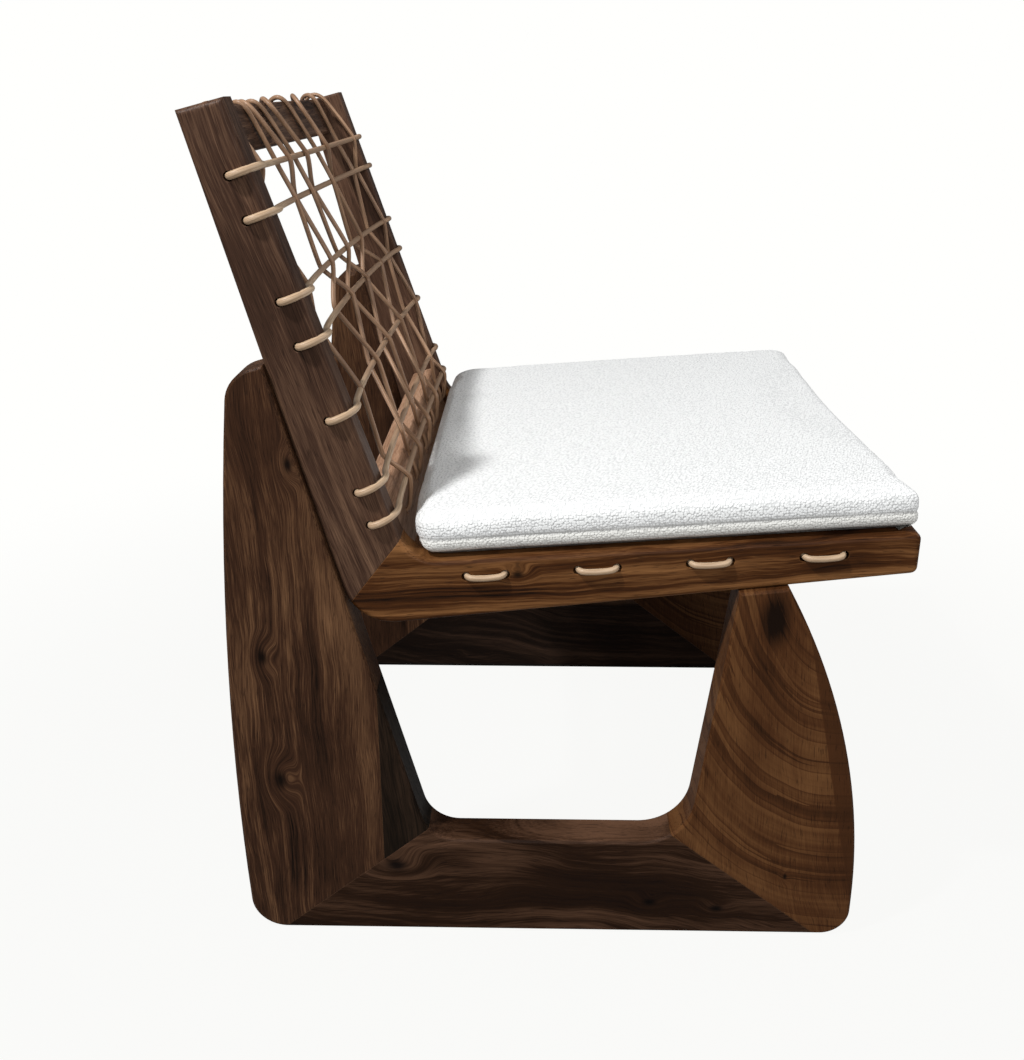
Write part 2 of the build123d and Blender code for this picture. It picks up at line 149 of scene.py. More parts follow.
class Finish:
    """A material or a world, written as expressions."""

    def __init__(self, owner):
        owner.use_nodes = True
        self.owner = owner
        self.tree = owner.node_tree
        self.tree.nodes.clear()

    def node(self, kind, settings=None, sockets=None, out=0):
        """One node: its settings first, then the values or links of its sockets."""
        made = self.tree.nodes.new("ShaderNode" + kind)
        for key, value in (settings or {}).items():
            if key == "stops":
                ramp = made.color_ramp
                while len(ramp.elements) < len(value):
                    ramp.elements.new(0.5)
                for element, (place, colour) in zip(ramp.elements, value):
                    element.position = place
                    element.color = (*colour, 1)
            else:
                setattr(made, key, value)
        for key, value in (sockets or {}).items():
            if isinstance(value, Field):
                self.tree.links.new(value.socket, made.inputs[key])
            else:
                made.inputs[key].default_value = value
        return Field(self, made.outputs[out])

    def maths(self, operation, *values):
        """One Math node. The operators come here too."""
        return self.node("Math", {"operation": operation}, dict(enumerate(values)))

    def places(self):
        """Object coordinates, which are the row frame's metres."""
        return self.node("TexCoord", out="Object")

    def dot(self, vector, direction):
        """How far a vector reaches along a direction."""
        sockets = {0: vector, 1: direction}
        return self.node("VectorMath", {"operation": "DOT_PRODUCT"}, sockets, out="Value")

    def shift(self, vector, by):
        """A vector seen from another point."""
        return self.node("VectorMath", {"operation": "SUBTRACT"}, {0: vector, 1: by})

    def vector(self, x, y, z):
        """Three fields as one vector."""
        return self.node("CombineXYZ", None, {0: x, 1: y, 2: z})

    def cloud(self, vector, detail=2.0, roughness=0.5):
        """Noise from 0 to 1, with about one swell for each unit of the vector."""
        sockets = {"Vector": vector, "Scale": 1.0, "Detail": detail, "Roughness": roughness}
        return self.node("TexNoise", None, sockets)

    def between(self, value, low, high):
        """0 below low, 1 above high, smooth between them."""
        sockets = {"Value": value, "From Min": low, "From Max": high}
        return self.node("MapRange", {"interpolation_type": "SMOOTHSTEP"}, sockets)

    def colours(self, value, stops):
        """A colour for each value, by stops."""
        return self.node("ValToRGB", {"stops": stops}, {0: value})

    def mix(self, share, first, second):
        """The first colour turned into the second by a share."""
        first, second = ((*c, 1) if isinstance(c, tuple) else c for c in (first, second))
        return self.node("Mix", {"data_type": "RGBA"}, {0: share, 6: first, 7: second}, out=2)

    def bump(self, height, distance, strength=1.0, normal=None):
        """A height turned into small slopes."""
        sockets = {"Height": height, "Distance": distance, "Strength": strength}
        if normal is not None:
            sockets["Normal"] = normal
        return self.node("Bump", None, sockets)

    def surface(self, **sockets):
        """Closes a material with a principled surface."""
        names = {key.replace("_", " "): value for key, value in sockets.items()}
        shader = self.node("BsdfPrincipled", None, names)
        self.close("OutputMaterial", shader)
        return self.owner

    def close(self, kind, shader):
        """Ends the net in an output."""
        made = self.tree.nodes.new("ShaderNode" + kind)
        self.tree.links.new(shader.socket, made.inputs["Surface"])


print("finishes are written with", Field.__name__, "and", Finish.__name__)

# %% [markdown]
# ## Room and light
# A chair like this is shown in a plain white studio. The floor and the world are white to the eye
# alone, and dim as light, so that dark wood keeps its depth. Three lamps light the chair. A small one,
# high behind its right side, throws the post's clear shadow on the pad. Two large, soft ones fill the
# side and the front.

# %% Room
eye_white = (1.0, 1.0, 0.985, 1)      # the white that the camera sees
floor_paint = (0.30, 0.30, 0.297, 1)  # the floor as it takes light and shadow
near_white = 0.93                     # share of plain white on the floor by the chair
white_over = (0.5, 1.4)               # from here to here, in metres, the floor turns wholly white


def studio_floor(reach):
    """A pale floor that turns wholly white away from the chair."""
    just_below = (0, 0, -0.5 * mm)
    bpy.ops.mesh.primitive_circle_add(vertices=64, radius=reach, fill_type="NGON", location=just_below)
    floor = bpy.context.object
    floor.name = "studio_floor"
    finish = Finish(bpy.data.materials.new("studio_floor"))
    away = finish.node("VectorMath", {"operation": "LENGTH"}, {0: finish.places()}, out="Value")
    seen = finish.node("LightPath", out="Is Camera Ray")
    share = seen * (near_white + (1 - near_white) * finish.between(away, *white_over))
    painted = finish.node("BsdfDiffuse", None, {"Color": floor_paint})
    glowing = finish.node("Emission", None, {"Color": eye_white, "Strength": 1.0})
    mixed = finish.node("MixShader", None, {0: share, 1: painted, 2: glowing})
    finish.close("OutputMaterial", mixed)
    floor.data.materials.append(finish.owner)


def studio_world(strength):
    """White to the eye, softer as light and in reflections."""
    world = bpy.data.worlds.new("studio")
    bpy.context.scene.world = world
    finish = Finish(world)
    seen = finish.node("LightPath", out="Is Camera Ray")
    soft = finish.node("Background", None, {"Color": (1, 1, 1, 1), "Strength": strength})
    white = finish.node("Background", None, {"Color": eye_white, "Strength": 1.0})
    finish.close("OutputWorld", finish.node("MixShader", None, {0: seen, 1: soft, 2: white}))


def lamp(name, place, aim, size, power):
    """A square lamp, soft when it is large."""
    data = bpy.data.lights.new(name, "AREA")
    data.size = size
    data.energy = power
    made = bpy.data.objects.new(name, data)
    bpy.context.scene.collection.objects.link(made)
    made.location = place
    made.rotation_euler = (Vector(aim) - Vector(place)).to_track_quat("-Z", "Y").to_euler()


bpy.ops.object.select_all(action="DESELECT")
studio_floor(reach=12)
studio_world(strength=0.17)
chair_middle = (0, 0, 0.35)
lamp("high_lamp", place=(-1.06, 1.30, 2.6), aim=chair_middle, size=0.15, power=66)
lamp("side_lamp", place=(-2.8, -0.3, 1.65), aim=chair_middle, size=1.2, power=34)
lamp("front_lamp", place=(0.2, -2.4, 2.0), aim=chair_middle, size=1.8, power=28)
bpy.context.scene.view_settings.view_transform = "Standard"

# %% [markdown]
# ## Wood
# The boards are an oiled dark tropical wood, sawn from different parts of the log. Growth rings are
# shells round the heart of the tree, so one solid pattern serves faces, edges and end grain alike:
# the distance from a heart line, stretched along the grain, is fed to noise. A short stretch gives
# the arched figure of a flat-sawn board, a long one gives straight streaks. Knots push the rings
# aside, and oval clouds turn a part of a board paler or darker; the pale cloud along each bottom
# rail's top is a painted sheen. Rounded edges are painted a little pale, partly as wear and partly
# as a painted highlight. An image would not turn the corner to the end grain, and this does.

# %% Timber
def nearness(finish, place, axes, middle, along, wide):
    """1 at the middle of an oval that lies along the grain, and 0 from its rim on."""
    near = finish.shift(place, Vector(middle))
    by_grain, by_side, by_depth = (finish.dot(near, axis) for axis in axes)
    by_grain = by_grain / along
    by_side = by_side / wide
    by_depth = by_depth / (wide * 3)
    far = (by_side * by_side + by_grain * by_grain + by_depth * by_depth) ** 0.5
    return 1 - finish.between(far, 0.1, 1.0)


def timber(name, grain, heart, stretch, tones, knots=(), clouds=(), figure=0.6, streak=0.9,
           late=0.0, border=None, seed=0.0, wave=0.007):
    """A board's finish. heart is where its rings centre, and grain the way it grew.

    stretch is how much slower the pattern changes along the grain, and tones are dark, middle and
    pale. A knot has a middle and a size, and a cloud a middle, a length, a breadth and how much
    paler it is. figure, streak and late are the strengths of the rings, of the fine lines along the
    grain and of the dark line that ends each year, and wave is how far the grain swings, in metres.
    border is a point and a direction, beyond which the board is darker and plain.
    """
    finish = Finish(bpy.data.materials.new(name))
    grain = Vector(grain).normalized()
    aside = Vector((1, 0, 0)) if abs(grain.x) < 0.5 else Vector((0, 1, 0))
    side = aside.cross(grain).normalized()
    axes = (grain, side, grain.cross(side))
    place = finish.places()
    away = finish.shift(place, Vector(heart))
    length, breadth, depth = (finish.dot(away, axis) for axis in axes)

    # The grain swings, and the knots push it aside. In a noise, each number that multiplies a
    # length says how many swells there are in a metre.
    drift = finish.cloud(finish.vector(length * 4 + seed, breadth * 9, depth * 9))
    swirl = finish.cloud(finish.vector(length * 14, breadth * 22 + seed, depth * 22))
    breadth = breadth + (drift - 0.5) * (wave * 5) + (swirl - 0.5) * wave
    eyes = None
    for middle, size in knots:
        push = nearness(finish, place, axes, middle, size * 4.4, size * 2.6)
        breadth = breadth + push * (size * 1.6)
        spot = nearness(finish, place, axes, middle, size * 1.7, size)
        eyes = spot if eyes is None else finish.maths("MAXIMUM", eyes, spot)

    # Broad and narrow rings, and four finer patterns that run along the grain.
    rings = (breadth * breadth + depth * depth + (length / stretch) ** 2.0) ** 0.5
    broad = finish.cloud(finish.vector(rings * 48 + seed, length * 1.3, depth * 2), 3, 0.55)
    lines = finish.cloud(finish.vector(rings * 240 + seed, length * 2.2, depth * 4), 4, 0.65)
    streaks = finish.cloud(finish.vector(breadth * 170 + seed, depth * 170, length * 6), 3, 0.6)
    fine = finish.cloud(finish.vector(breadth * 620, depth * 620 + seed, length * 17), 3, 0.6)
    fibre = finish.cloud(finish.vector(breadth * 1500, depth * 1500, length * 40 + seed))
    pores = finish.cloud(finish.vector(breadth * 900, depth * 900, length * 70 + seed), 1)
    pore = finish.between(pores, 0.60, 0.72)

    # Slow patches, and places where the streaks are livelier.
    patches = finish.cloud(finish.vector(length * 5 + seed, breadth * 14, depth * 14))
    swells = finish.cloud(finish.vector(length * 3, breadth * 26 + seed, depth * 26))
    lively = finish.between(swells, 0.38, 0.62)

    # All of them together are the tone, 0 for dark and 1 for pale.
    tone = (broad - 0.5) * figure + (lines - 0.5) * (figure / 2) + 0.5
    tone = tone + (streaks - 0.5) * streak * (lively + 0.35)
    tone = tone + (fine - 0.5) * streak * (lively * 0.7 + 0.3)
    tone = tone + (fibre - 0.5) * (0.2 + streak * 0.7) + (patches - 0.5) * 0.5
    if late:
        year = finish.maths("FRACT", rings * 38 + broad * 8.0)
        tone = tone + (patches + 0.3) * late * (0.22 - year ** 4.0)
    for middle, along, wide, amount in clouds:
        tone = tone + nearness(finish, place, axes, middle, along, wide) * amount
    if border is not None:
        edge, outward = border
        past = finish.dot(finish.shift(place, Vector(edge)), Vector(outward))
        beyond = finish.between(past, 0, 1.5 * mm)
        tone = tone + (0.34 - tone) * (beyond * 0.65)

    dark, mid, pale = tones
    colour = finish.colours(tone, [(0.12, dark), (0.48, mid), (0.90, pale)])
    colour = finish.mix(pore * 0.5, colour, dark)
    if eyes is not None:
        colour = finish.mix(eyes * 0.9, colour, tuple(c * 0.3 for c in dark))

    # Where the rounded normal leaves the flat one there is an edge. It is painted paler, partly as
    # wear and partly as a painted highlight.
    eased = finish.node("Bevel", {"samples": 4}, {"Radius": 1.6 * mm})
    flat = finish.node("NewGeometry", out="True Normal")
    painted_light = finish.between(1 - finish.dot(eased, flat), 0.03, 0.22)
    colour = finish.mix(painted_light * 0.28, colour, tuple(c * 1.5 for c in pale))
    height = (lines - 0.5) * 0.25 + (fine - 0.5) * 0.35 + (fibre - 0.5) * 0.35 - pore * 0.8
    return finish.surface(
        Base_Color=colour,
        Roughness=0.44 - (tone - 0.5) * 0.14 + pore * 0.2,
        Specular_IOR_Level=0.08,
        Normal=finish.bump(height, distance=0.15 * mm, strength=0.6, normal=eased),
    )


print("timber waits for its boards")

# %% [markdown]
# Each board gets its own cut: the rear legs and bottom rails are the dark heartwood, the front legs
# arch round a heart near their top and end in a straight-grained strip at the front, and the seat
# rails are striped along their length. The left side is cut from other boards of the same log, so
# its hearts and knots lie elsewhere. Its bottom rail and front leg take darker copies of the right
# side's tones, as painted shade for the deep shade under the seat. The rail low in the back is pale
# sapwood, painted paler still as painted light where the lamps fall on it.

# %% Tones
chocolate = ((0.004, 0.002, 0.001), (0.047, 0.0200, 0.010), (0.190, 0.096, 0.046))
night = ((0.002, 0.001, 0.001), (0.007, 0.004, 0.002), (0.040, 0.022, 0.013))
umber = ((0.003, 0.001, 0.001), (0.019, 0.0075, 0.003), (0.120, 0.060, 0.034))
amber = ((0.008, 0.003, 0.001), (0.070, 0.0255, 0.0085), (0.190, 0.086, 0.031))
# The next two are darker copies of amber and umber, for the left front leg and bottom rail: painted
# shade, for the deep shade under the seat.
amber_in_painted_shade = ((0.005, 0.002, 0.001), (0.038, 0.0140, 0.0055), (0.125, 0.057, 0.022))
umber_in_painted_shade = ((0.002, 0.001, 0.001), (0.010, 0.005, 0.003), (0.060, 0.032, 0.020))
striped = ((0.005, 0.002, 0.001), (0.061, 0.0205, 0.0055), (0.245, 0.110, 0.039))
greyed = ((0.008, 0.004, 0.002), (0.054, 0.0270, 0.0170), (0.195, 0.110, 0.066))
ruddy = ((0.012, 0.006, 0.004), (0.072, 0.036, 0.022), (0.200, 0.112, 0.070))
# Pale sapwood, with its tones raised as painted light: the brightness of light falling on the lower
# back rail.
sapwood_painted_lit = ((0.150, 0.074, 0.042), (0.370, 0.210, 0.128), (0.560, 0.360, 0.245))
beech = ((0.30, 0.20, 0.12), (0.48, 0.34, 0.21), (0.60, 0.46, 0.31))
print("from the darkest", night[0], "to the palest", beech[-1])

# %% Boards
heart_off = 50 * mm           # from a base's outer face to its hearts, towards the chair's left


def cover(board, wood):
    """One finish all over a board of the frame."""
    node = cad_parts[board]
    node.data.materials.clear()
    node.data.materials.append(wood)


for side, hand in ((-1, "right"), (1, "left")):
    left = int(hand == "left")    # 1 there, where hearts, knots and seeds are the left side's own
    base_x = side * base_half
    seat_x = side * half_frame
    leg_x = base_x + heart_off
    cuts = {
        "rear_leg": timber(
            f"{hand}_rear_leg_wood", grain=(0, 0.02, 1), heart=(leg_x, 0.36 + 0.05 * left, 0.30),
            stretch=9, tones=chocolate,
            knots=[((base_x, 0.261 - 0.03 * left, 0.287), 0.007),
                   ((base_x, 0.227, 0.462), 0.006),
                   ((base_x, 0.254, 0.163 + 0.2 * left), 0.009)],
            clouds=[((base_x, 0.193, 0.305), 0.11, 0.022, 0.13),
                    ((base_x, 0.173, 0.195), 0.11, 0.018, 0.15),
                    ((base_x, 0.215, 0.23), 0.16, 0.020, -0.16),
                    ((base_x, 0.22, 0.07), 0.08, 0.06, -0.16),
                    ((base_x, 0.255, 0.36), 0.16, 0.022, 0.10)],
            figure=0.2, streak=0.75, seed=7 * left + 1),
        "rear_leg_stave": timber(
            f"{hand}_rear_leg_stave_wood", grain=(0, 0.1, 1), heart=(leg_x, 0.08, 0.10),
            stretch=10, tones=night,
            figure=0.3, streak=0.5, seed=7 * left + 2),
        "bottom_rail": timber(
            f"{hand}_bottom_rail_wood", grain=(0, 1, 0.05), heart=(leg_x, -0.06, 0.17),
            # On the left, darker tones: painted shade for the deep shade under the seat.
            stretch=3, tones=umber_in_painted_shade if left else umber,
            knots=[((base_x, 0.152, 0.072), 0.010),
                   ((base_x, -0.084 + 0.1 * left, 0.034), 0.006),
                   ((base_x, -0.147, 0.028), 0.006)],
            clouds=[((base_x, 0.055, 0.075), 0.05, 0.014, 0.16),
                    ((base_x, -0.05, 0.05), 0.13, 0.040, -0.12),
                    # The last cloud is a painted sheen: a pale band along the top of the rail,
                    # standing in for a reflection.
                    ((base_x - side * 0.028, 0.0, 0.110), 0.16, 0.016, 0.9)],
            figure=0.9, streak=0.3, seed=7 * left + 3, wave=0.015),
        "front_leg": timber(
            f"{hand}_front_leg_wood", grain=(0, 0.10, 1), heart=(base_x, -0.240, 0.395 + 0.04 * left),
            # On the left, darker tones: painted shade for the deep shade under the seat.
            stretch=1.55, tones=amber_in_painted_shade if left else amber,
            knots=[((base_x, -0.208, 0.065 + 0.03 * left), 0.003)],
            clouds=[((base_x, -0.178, 0.326), 0.036, 0.019, -0.42),
                    ((base_x, -0.150, 0.25), 0.10, 0.03, 0.10)],
            figure=0.75, streak=0.22, late=0.27,
            border=((base_x, -0.203, 0.34), (0, -0.976, 0.215)), seed=7 * left + 4),
        "back_post": timber(
            f"{hand}_back_post_wood", grain=-down_post, heart=(seat_x + 0.03, 0.30, 0.40),
            stretch=12, tones=ruddy if left else greyed,
            clouds=[((seat_x, 0.165, 0.41), 0.15, 0.05, 0.04),
                    ((seat_x, 0.225, 0.60), 0.09, 0.04, -0.10)],
            figure=0.35, streak=0.6, seed=7 * left + 5, wave=0.004),
        "seat_rail": timber(
            f"{hand}_seat_rail_wood", grain=(0, 1, -0.06), heart=(seat_x + 0.02, 0.05, 0.445),
            stretch=12, tones=striped,
            knots=[((seat_x, 0.040, 0.364), 0.005)],
            clouds=[((seat_x, -0.23, 0.38), 0.07, 0.02, -0.16)],
            figure=1.7, streak=0.45, seed=7 * left + 6),
    }
    for board, wood in cuts.items():
        cover(f"{hand}_{board}", wood)

cross_cuts = {
    "crest_rail": ((0.05, 0.34, 0.66), greyed),
    # The lower back rail's pale tones are partly painted light.
    "lower_back_rail": ((-0.02, 0.10, 0.46), sapwood_painted_lit),
    "front_seat_rail": ((0.0, -0.20, 0.42), striped),
}
for board, (heart, tones) in cross_cuts.items():
    wood = timber(f"{board}_wood", grain=(1, 0.0, 0.02), heart=heart, stretch=12, tones=tones,
                  seed=len(board))
    cover(board, wood)

joint_wood = timber("joint_wood", grain=(1, 0, 0), heart=(0, 0.3, 0.2), stretch=14, tones=beech,
                    streak=0.5)
for name in ("right_base_tenons", "left_base_tenons", "right_corner_tenon", "left_corner_tenon",
             "cross_rail_tenons", "frame_dowels"):
    cover(name, joint_wood)
print("boards finished", 2 * len(cuts) + len(cross_cuts))

# %% [markdown]
# ## Leather cord
# The lacing is round natural leather. Its colour and creases run along the cord, so the pattern
# reads the cord's own map: the first number is the length in metres, the second the way round. A
# cosine and a sine of the way round join the pattern where the map ends, and a dark line opposite
# is the seam of the leather.

# %% Cord leather
def cord_leather(name, pale, deep, painted_light=None):
    """Natural leather between two colours.

    The last argument, if given, is where along the cord it starts to turn brown, where it is brown,
    and that brown: painted shade, which leaves the cord's first stretch pale as if lit.
    """
    finish = Finish(bpy.data.materials.new(name))
    own = finish.node("UVMap", {"uv_map": "UVMap"})
    run = finish.dot(own, Vector((1, 0, 0)))
    turn = finish.dot(own, Vector((0, 1, 0)))
    ring_x = finish.maths("COSINE", turn * math.tau)
    ring_y = finish.maths("SINE", turn * math.tau)
    tone = finish.cloud(finish.vector(run * 22, ring_x * 0.35, ring_y * 0.35))
    streaks = finish.cloud(finish.vector(run * 30, ring_x * 3.4, ring_y * 3.4))
    grain = finish.cloud(finish.vector(run * 900, ring_x * 5, ring_y * 5), 3)
    seam = 1 - finish.between(finish.maths("ABSOLUTE", turn - 0.5), 0.0, 0.06)
    mixed = tone * 0.45 + streaks * 0.55
    middle = tuple((p + d) / 2 for p, d in zip(pale, deep))
    colour = finish.colours(mixed, [(0.34, deep), (0.52, middle), (0.66, pale)])
    if painted_light is not None:
        start, end, brown = painted_light
        # Painted shade: past its first stretch the cord turns brown, as if out of the light.
        share = finish.between(run + (tone - 0.5) * 0.12, start, end)
        colour = finish.mix(share * 0.85, colour, brown)
    colour = finish.mix(seam * 0.7, colour, tuple(c * 0.35 for c in deep))
    height = (streaks - 0.5) * 0.6 + (grain - 0.5) * 0.5 - seam * 1.2
    return finish.surface(
        Base_Color=colour,
        Roughness=0.46 + (grain - 0.5) * 0.2,
        Specular_IOR_Level=0.4,
        Normal=finish.bump(height, distance=0.25 * mm),
    )


hide = (0.70, 0.53, 0.36)
tan = (0.32, 0.20, 0.115)
saddle_in_painted_shade = (0.30, 0.182, 0.110)
# The rows turn brown past their first stretch: painted shade, so that the stretch round the right post
# stays pale as if lit.
row_leather = cord_leather("row_leather", hide, tan, painted_light=(0.10, 0.20, saddle_in_painted_shade))
upright_leather = cord_leather("upright_leather", (0.43, 0.255, 0.150), (0.15, 0.080, 0.043))
stitch_leather = cord_leather("stitch_leather", hide, tan)
print("cord leathers", 3)

# %% [markdown]
# A cord is a tube along a smooth line. The line is a NURBS spline through few points, which bends
# as a cord does, without the joints that arcs and straight runs show. Its fourth number draws it
# towards a point, for the tight turns round the posts. The tube is laid along the spline by hand,
# so that it can swell where it leaves a hole and carries a map along its length.

# %% Cord tubes
def spline_line(name, points, closed=False):
    """Points along a NURBS spline of order 3."""
    curve = bpy.data.curves.new(name, "CURVE")
    curve.dimensions = "3D"
    spline = curve.splines.new("NURBS")
    spline.points.add(len(points) - 1)
    for control, (place, weight) in zip(spline.points, points):
        control.co = (*place, weight)
    spline.order_u = 3
    spline.use_cyclic_u = closed
    spline.use_endpoint_u = not closed
    spline.resolution_u = 7
    carrier = bpy.data.objects.new(name, curve)
    line = bpy.data.meshes.new_from_object(carrier)
    found = np.array([v.co[:] for v in line.vertices])
    bpy.data.objects.remove(carrier)
    bpy.data.curves.remove(curve)
    bpy.data.meshes.remove(line)
    return found


def cord(name, points, thickness, leather, swell=None, closed=False, sides=12):
    """A round cord along control points, each with its weight."""
    line = spline_line(name, points, closed)
    count = len(line)
    after = np.roll(line, -1, 0) - line
    before = line - np.roll(line, 1, 0)
    if not closed:
        after[-1] = before[-1]
        before[0] = after[0]
    heading = after + before
    heading /= np.linalg.norm(heading, axis=1)[:, None]
    run = np.concatenate([[0], np.cumsum(np.linalg.norm(np.diff(line, axis=0), axis=1))])

    # Each ring's first edge is the last ring's, made square to the new heading, so the tube
    # doesn't twist. The first of all is square to a direction that no cord starts in.
    edge = np.cross(heading[0], (0.31, 0.21, 0.93))
    vertices = []
    for ring in range(count):
        edge = edge - heading[ring] * edge.dot(heading[ring])
        edge = edge / np.linalg.norm(edge)
        lift = np.cross(heading[ring], edge)
        radius = thickness / 2 * (1 if swell is None else swell(run[ring], run[-1]))
        for step in range(sides):
            turn = math.tau * step / sides
            vertices.append(line[ring] + (edge * math.cos(turn) + lift * math.sin(turn)) * radius)
    faces = []
    marks = []
    for ring in range(count if closed else count - 1):
        near = ring * sides
        far = (ring + 1) % count * sides
        here = run[ring]
        there = run[ring + 1] if ring + 1 < count else run[-1] + thickness
        for step in range(sides):
            following = (step + 1) % sides
            low = step / sides
            high = (step + 1) / sides
            faces.append((near + step, near + following, far + following, far + step))
            marks += [(here, low), (here, high), (there, high), (there, low)]
    if not closed:
        faces.append(tuple(range(sides - 1, -1, -1)))
        faces.append(tuple(range((count - 1) * sides, count * sides)))
        marks += [(0, 0)] * (2 * sides)
    mesh = bpy.data.meshes.new(name)
    mesh.from_pydata([tuple(v) for v in vertices], [], faces)
    own_map = mesh.uv_layers.new(name="UVMap")
    own_map.data.foreach_set("uv", np.array(marks, np.float32).ravel())
    mesh.polygons.foreach_set("use_smooth", [True] * len(faces))
    mesh.materials.append(leather)
    made = bpy.data.objects.new(name, mesh)
    bpy.context.scene.collection.objects.link(made)
    mesh.update()
    return made


print("cords follow splines of order 3")

# %% [markdown]
# ## Rows across the back
# A row comes out of a post's outer side, turns round its front edge, sinks back between the posts
# under the pull of the uprights, and does the same at the other post.

# %% Rows
row_d = 5.4 * mm
row_hole_out = -18 * mm       # the row holes' place, behind the post fronts
row_end_in = 13 * mm          # how deep in its post a row ends
turn_off = 3.5 * mm           # how far off the wood the turns' control points lie
row_out = 3.0 * mm            # a row's middle at the posts' inner edges, out of their fronts
row_down = [share * post_len / 100 for share in (13.6, 22.4, 39.1, 48.6, 65.0, 81.5, 89.2)]
row_sag = [sag * mm for sag in (14.0, 19.5, 18.5, 16.0, 11.0, 7.0, 3.0)]
sag_run = 28 * mm             # inside this distance from a post a row sinks
swell_share = 0.16
swell_at = 30 * mm
swell_width = 26 * mm


def swollen_ends(run, whole):
    """Thicker near the posts, where the cord isn't stretched over others."""
    near = min(run, whole - run)
    return 1.0 + swell_share * math.exp(-((near - swell_at) / swell_width) ** 2)


for row, down in enumerate(row_down):
    # Places across and out of the post fronts, each with the weight that draws the cord to it.
    half = [
        ((half_frame - row_end_in, row_hole_out), 1),
        ((half_frame + turn_off, row_hole_out), 4),
        ((half_frame + turn_off, turn_off), 1.6),
        ((inner_half - 0.5 * mm, 4.0 * mm), 4),
        ((inner_half - sag_run, row_out - row_sag[row]), 1),
    ]
    route = [(back_point(-x, down, out), weight) for (x, out), weight in half]
    route += [(back_point(x, down, out), weight) for (x, out), weight in half[::-1]]
    name = f"row_cord_{row + 1}"
    made = cord(name, route, row_d, row_leather, swell=swollen_ends)
    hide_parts(f"back_cord_row_{row + 1}")
    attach(made, "frame")
print("rows", len(row_down))

# %% [markdown]
# ## Uprights
# Nine thinner cords come out of the back of the crest rail, over its top and down the weave into
# the lower rail, in front of one row and behind the next. Two points at each crossing, one above
# and one below the row, carry the smooth line clear of it. Each cord's places are hundredths of the
# half width between the posts: its hole, the crest, the seven rows and the lower rail.

# %% Uprights
upright_d = 4.6 * mm
upright_swing = 5.4 * mm      # between the middles of an upright and of the row it crosses
upright_beside = 4 * mm       # from a row to the control points above and below it
crest_front = -17.4 * mm
crest_rear = -37.6 * mm
crest_end_in = 10.6 * mm      # from the turn behind the crest rail to the cord's end in its hole
over_crest = -2.6 * mm
far_arch = 3.4 * mm           # how much higher the left cords arch over the crest
hole_down = 15 * mm
low_hole_down = 378 * mm
low_front = -6.4 * mm
low_end_in = 15.6 * mm        # from the turn at the lower rail to the cord's end in its hole
upright_places = (
    (-89, -94, -91, -88, -81, -77, -76, -71, -69, -68),
    (-51, -58, -46, -47, -33, -21, -28, -44, -33, -32),
    (-40, -54, -43, -27, -30, -40, -31, -23, -30, -26),
    (-30, -37, -14, -15, 6, 20, 11, -5, 7, 9),
    (4, -24, -11, 9, 9, -6, 8, 19, 10, 15),
    (16, 9, 33, 32, 43, 65, 54, 38, 47, 47),
    (68, 29, 36, 56, 46, 37, 51, 62, 50, 52),
    (84, 73, 89, 89, 90, 89, 90, 83, 88, 89),
    (94, 92, 94, 96, 95, 96, 95, 95, 93, 94),
)


def row_level(x, row):
    """How far out of the post fronts a row lies at x."""
    return row_out - row_sag[row] * min(1.0, (inner_half - abs(x)) / sag_run)


for upright, places in enumerate(upright_places):
    hole_x, crest_x, *row_xs, low_x = [place * inner_half / 100 for place in places]
    to_the_left = min(1.0, max(0.0, hole_x / (120 * mm) + 0.4))
    arch = over_crest - far_arch * to_the_left
    downs = [arch, *row_down, low_hole_down]
    xs = [crest_x, *row_xs, low_x]
    route = [
        (back_point(hole_x, hole_down, crest_rear + crest_end_in), 1),
        (back_point(hole_x, hole_down, crest_rear), 2),
        (back_point(hole_x, arch, crest_rear), 2),
        (back_point(crest_x, arch, crest_front), 2),
    ]
    for row, x in enumerate(row_xs):
        slope = (xs[row + 2] - xs[row]) / (downs[row + 2] - downs[row])
        front = 1 if (row + upright) % 2 == 0 else -1
        level = row_level(x, row) + front * upright_swing
        for step in (-upright_beside, upright_beside):
            route.append((back_point(x + slope * step, row_down[row] + step, level), 1))
    route.append((back_point(low_x, low_hole_down, low_front), 2))
    route.append((back_point(low_x, low_hole_down, low_front - low_end_in), 1))
    made = cord(f"upright_cord_{upright + 1}", route, upright_d, upright_leather, sides=10)
    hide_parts(f"back_cord_upright_{upright + 1}")
    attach(made, "frame")
print("uprights", len(upright_places))

# %% [markdown]
# ## Seat lacing
# Four closed loops pass through both seat rails. What shows is a short stitch on each outer face,
# which rests a little lower in its middle than at its holes.

# %% Seat loops
stitch_len = 33 * mm
stitch_out = half_frame + 3.2 * mm
stitch_down = 15 * mm         # from the rails' top to the holes
stitch_sag = 1.6 * mm
first_stitch = 67 * mm        # y of the rearmost stitch's middle
stitch_pitch = 94.2 * mm
past_rail = half_frame - 30 * mm
for loop in range(4):
    middle = first_stitch - stitch_pitch * loop
    rear = middle + stitch_len / 2
    front = middle - stitch_len / 2
    route = []
    for side in (-1, 1):
        ends = (rear, front) if side < 0 else (front, rear)
        corner = [((side * stitch_out, y, rail_top_z(y) - stitch_down), 1.6) for y in ends]
        inside = [((side * past_rail, y, rail_top_z(y) - stitch_down), 1) for y in ends]
        low = rail_top_z(middle) - stitch_down - stitch_sag
        sag = ((side * (stitch_out + 0.6 * mm), middle, low), 1)
        route += [inside[0], corner[0], sag, corner[1], inside[1]]
    made = cord(f"seat_lacing_{loop + 1}", route, row_d, stitch_leather, closed=True)
    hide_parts(f"seat_cord_loop_{loop + 1}")
    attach(made, "frame")
print("seat loops", 4)

